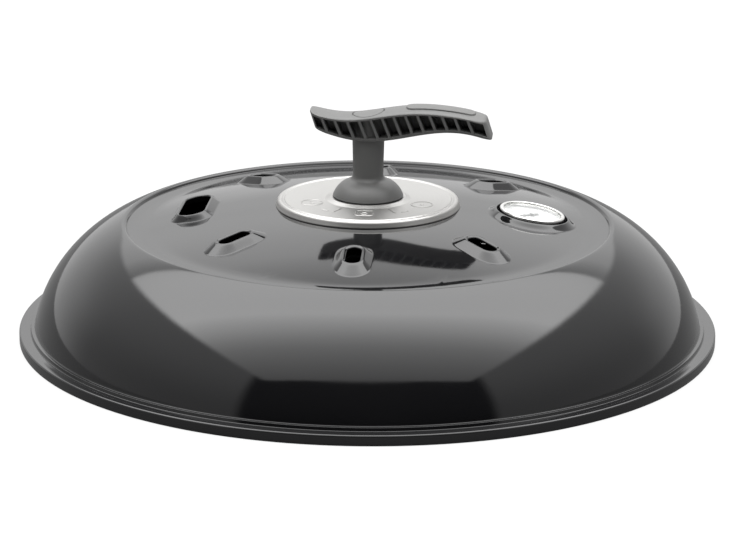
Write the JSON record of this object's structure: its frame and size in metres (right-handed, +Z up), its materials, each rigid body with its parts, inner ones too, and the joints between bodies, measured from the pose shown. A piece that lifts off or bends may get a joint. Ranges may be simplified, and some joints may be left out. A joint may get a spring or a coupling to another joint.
{
  "type": "kettle grill lid",
  "caption": "Domed enamelled kettle grill lid with smoke slots, a stainless disc, a wavy lever grip that turns an inner damper, a dial thermometer and a hang slot.",
  "frame": {"origin": "centre of the rim, on the plane that the lid's rim rests on", "axes": "+Z up along the lid's axis, +X towards the thermometer and along the long arm of the grip, +Y towards the far side"},
  "size_m": [0.5, 0.5, 0.1679],
  "materials": {
    "black_enamel": "high gloss vitreous enamel",
    "dark_enamel": "satin enamel",
    "brushed_stainless": "fine satin",
    "polished_steel": "polished",
    "zinc_steel": "zinc plated",
    "brass_fitting": "satin",
    "grip_plastic": "matt, glass filled",
    "stem_plastic": "matt, glass filled",
    "black_gasket": "matt",
    "red_gasket": "matt",
    "dial_glass": "clear",
    "dial_face": "satin white",
    "pointer_black": "satin"
  },
  "bodies": {
    "lid": {"lid_dome": "black_enamel", "heat_shield_disc": "brushed_stainless", "disc_spacer": "zinc_steel", "pivot_bushing": "brass_fitting", "backing_washer": "zinc_steel", "bushing_nut": "brass_fitting", "stop_pin": "zinc_steel", "thermometer_case": "polished_steel", "thermometer_bezel": "polished_steel", "thermometer_lens": "dial_glass", "thermometer_dial": "dial_face", "bimetal_coil": "brass_fitting", "probe_tube": "polished_steel", "thermometer_bushing": "brass_fitting", "thermometer_gasket": "red_gasket", "thermometer_washer": "zinc_steel", "thermometer_wing_nut": "zinc_steel"},
    "handle": {"handle_grip": "grip_plastic", "handle_stem": "stem_plastic", "screw_cap": "grip_plastic", "handle_bolt": "zinc_steel", "bolt_head_washer": "zinc_steel", "foot_gasket": "black_gasket", "damper_spacer": "zinc_steel", "damper_plate": "dark_enamel", "damper_washer": "zinc_steel", "spring_washer": "zinc_steel", "lock_nut": "zinc_steel"},
    "pointer": {"thermometer_pointer": "pointer_black", "pointer_shaft": "zinc_steel"}
  },
  "joints": [
    {"name": "handle_turn", "type": "hinge", "parent": "lid", "child": "handle", "pos_m": [0, 0, 0.1], "axis": [0, 0, 1], "range_deg": [0, 22.5]},
    {"name": "pointer_turn", "type": "hinge", "parent": "lid", "child": "pointer", "pos_m": [0.11657, 0, 0.08678], "axis": [-0.1596, 0, -0.9872], "range_deg": [0, 270]}
  ]
}
